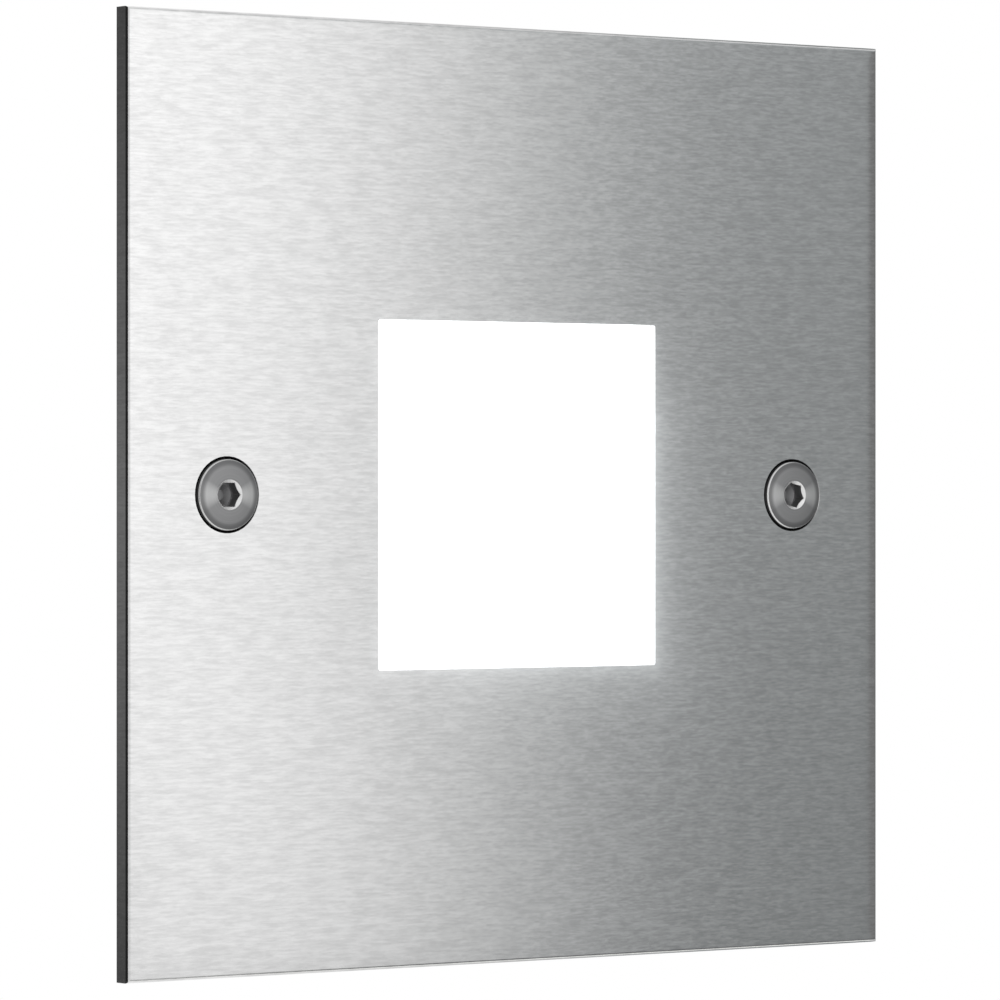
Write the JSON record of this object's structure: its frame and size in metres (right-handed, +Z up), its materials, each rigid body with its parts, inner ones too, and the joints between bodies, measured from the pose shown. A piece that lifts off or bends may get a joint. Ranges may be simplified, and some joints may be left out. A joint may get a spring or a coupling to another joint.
{
  "type": "recessed wall light",
  "caption": "Square recessed wall light: brushed steel cover with a flush opal window, held by captive countersunk screws on a die-cast pot with a cable gland.",
  "frame": {"origin": "centre of the flange's rear face, in the plane that seats on the wall", "axes": "+X to the right as seen from the front, +Y into the wall, +Z up"},
  "size_m": [0.1, 0.0375, 0.1],
  "materials": {
    "brushed_stainless": "brushed across, satin",
    "stainless_fastener": "turned, bright",
    "zinc_steel": "zinc plated",
    "opal_acrylic": "opal, satin, lit from behind",
    "silicone_rubber": "matt",
    "black_rubber": "matt",
    "natural_nylon": "moulded",
    "grey_nylon": "moulded",
    "die_cast_aluminium": "as cast, matt",
    "brass": "machined",
    "thermal_silicone": "matt, soft",
    "white_board": "white solder mask on an aluminium core",
    "lamp_package": "white package with yellow phosphor",
    "chip_black": "moulded",
    "capacitor_can": "drawn",
    "white_polycarbonate": "moulded, matt white",
    "green_terminal": "moulded"
  },
  "bodies": {
    "housing": {"housing": "die_cast_aluminium", "flange_gasket": "black_rubber", "screw_inserts": "brass", "thermal_pad": "thermal_silicone", "led_board": "white_board", "led_chips": "lamp_package", "reflector": "white_polycarbonate", "board_screws": "zinc_steel", "current_regulator": "chip_black", "bridge_rectifier": "chip_black", "smoothing_capacitor": "capacitor_can", "terminal_block": "green_terminal", "terminal_cages": "brass", "terminal_screws": "zinc_steel", "gland_body": "grey_nylon", "gland_o_ring": "black_rubber", "gland_seal": "black_rubber", "gland_cap": "grey_nylon"},
    "cover": {"front_plate": "brushed_stainless", "window_lens": "opal_acrylic", "lens_gasket": "silicone_rubber", "lens_frame": "zinc_steel", "lens_studs": "stainless_fastener", "lens_washers": "zinc_steel", "lens_nuts": "zinc_steel"},
    "left_retainer": {"left_screw_retainer": "natural_nylon"},
    "left_screw": {"left_screw": "stainless_fastener"},
    "right_retainer": {"right_screw_retainer": "natural_nylon"},
    "right_screw": {"right_screw": "stainless_fastener"}
  },
  "joints": [
    {"name": "cover_removal", "type": "slide", "parent": "housing", "child": "cover", "axis": [0, -1, 0], "range_m": [0, 0.03]},
    {"name": "left_screw_travel", "type": "slide", "parent": "cover", "child": "left_retainer", "axis": [0, -1, 0], "range_m": [0, 0.0035]},
    {"name": "left_screw_turn", "type": "hinge", "parent": "left_retainer", "child": "left_screw", "pos_m": [-0.0377, 0, 0], "axis": [0, -1, 0], "range_deg": [0, 1800]},
    {"name": "right_screw_travel", "type": "slide", "parent": "cover", "child": "right_retainer", "axis": [0, -1, 0], "range_m": [0, 0.0035]},
    {"name": "right_screw_turn", "type": "hinge", "parent": "right_retainer", "child": "right_screw", "pos_m": [0.0377, 0, 0], "axis": [0, -1, 0], "range_deg": [0, 1800]}
  ],
  "couplings": [
    {"joint": "left_screw_turn", "follows": "left_screw_travel", "rad_per_m": 8976},
    {"joint": "right_screw_turn", "follows": "right_screw_travel", "rad_per_m": 8976}
  ]
}
